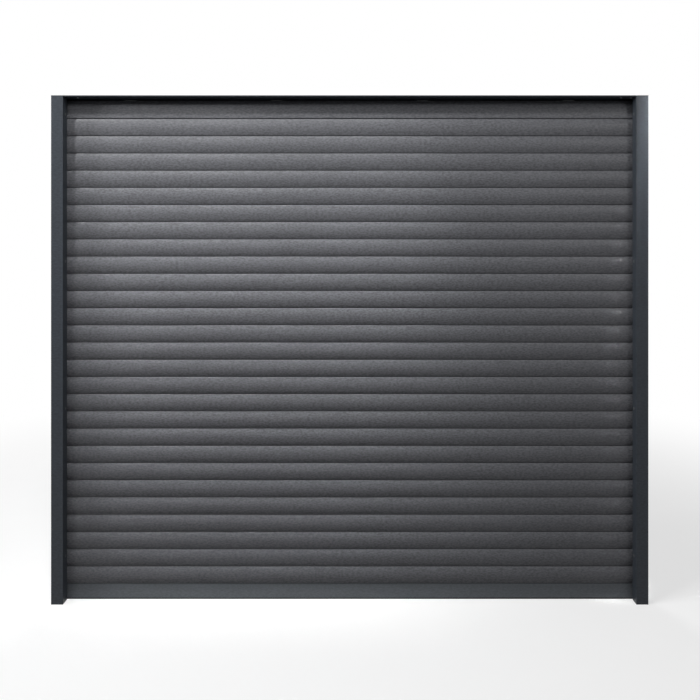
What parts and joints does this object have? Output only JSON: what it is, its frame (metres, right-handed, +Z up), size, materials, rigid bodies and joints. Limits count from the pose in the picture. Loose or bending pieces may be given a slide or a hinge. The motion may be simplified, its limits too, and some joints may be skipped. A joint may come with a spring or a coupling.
{
  "type": "roller shutter door with guide rails and coil housing",
  "caption": "Closed roller shutter door: bowed aluminium slats hooked together, hollow guide rails with brush strips, bottom bar with rubber seal, and a coil housing behind the head.",
  "frame": {"origin": "on the left guide rail's outer face, at floor level and at the middle of the rail's depth", "axes": "+X along the width from the left rail to the right as seen from outside, +Y from the outside to the inside, +Z up"},
  "size_m": [2.64, 0.363, 2.25],
  "materials": {
    "slat_coating": "satin",
    "bar_coating": "satin",
    "rail_coating": "satin",
    "housing_coating": "satin",
    "zinc_steel": "satin",
    "seal_rubber": "matte",
    "brush_pile": "matte"
  },
  "bodies": {
    "root": {"back_panel": "housing_coating", "barrel": "zinc_steel", "barrel_bearings": "zinc_steel", "bottom_bar": "bar_coating", "bottom_seal": "seal_rubber", "floor_panel": "housing_coating", "front_panel": "housing_coating", "hangers": "zinc_steel", "inspection_panel": "housing_coating", "left_brush_strips": "brush_pile", "left_end_plate": "zinc_steel", "left_guide_rail": "rail_coating", "right_brush_strips": "brush_pile", "right_end_plate": "zinc_steel", "right_guide_rail": "rail_coating", "slat_01": "slat_coating", "slat_02": "slat_coating", "slat_03": "slat_coating", "slat_04": "slat_coating", "slat_05": "slat_coating", "slat_06": "slat_coating", "slat_07": "slat_coating", "slat_08": "slat_coating", "slat_09": "slat_coating", "slat_10": "slat_coating", "slat_11": "slat_coating", "slat_12": "slat_coating", "slat_13": "slat_coating", "slat_14": "slat_coating", "slat_15": "slat_coating", "slat_16": "slat_coating", "slat_17": "slat_coating", "slat_18": "slat_coating", "slat_19": "slat_coating", "slat_20": "slat_coating", "slat_21": "slat_coating", "slat_22": "slat_coating", "slat_23": "slat_coating", "slat_24": "slat_coating", "slat_25": "slat_coating", "slat_26": "slat_coating", "slat_27": "slat_coating", "slat_28": "slat_coating", "top_cover": "housing_coating"}
  },
  "joints": []
}
